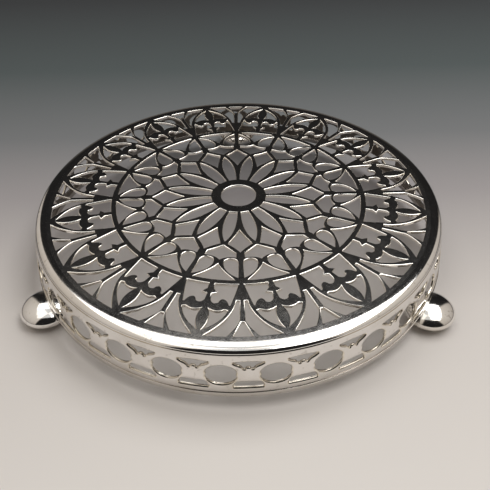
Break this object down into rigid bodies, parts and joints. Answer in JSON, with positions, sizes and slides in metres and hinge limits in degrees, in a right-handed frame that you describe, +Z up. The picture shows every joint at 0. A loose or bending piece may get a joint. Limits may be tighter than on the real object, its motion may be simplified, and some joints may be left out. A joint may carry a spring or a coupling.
{
  "type": "teapot stand",
  "caption": "Round silver teapot stand: flat plate pierced with rose-window tracery, pierced gallery ring below it, and compressed ball feet.",
  "frame": {"origin": "on the table under the middle of the stand's bounding box; the ring's own axis is 5.18 mm towards -Y, because the back foot reaches past the ring", "axes": "+Z up through the plate, +Y towards the back foot, +X to the right seen from the front"},
  "size_m": [0.1748, 0.1854, 0.0271],
  "materials": {
    "plate_silver": "polished silver, faintly worn flat top",
    "rim_silver": "polished silver",
    "gallery_silver": "polished silver, soft sheen",
    "foot_silver": "mirror polished silver"
  },
  "bodies": {
    "root": {"pierced_plate": "plate_silver", "rim_moulding": "rim_silver", "gallery_band": "gallery_silver", "base_wire": "rim_silver", "foot_back": "foot_silver", "foot_left": "foot_silver", "foot_right": "foot_silver"}
  },
  "joints": []
}
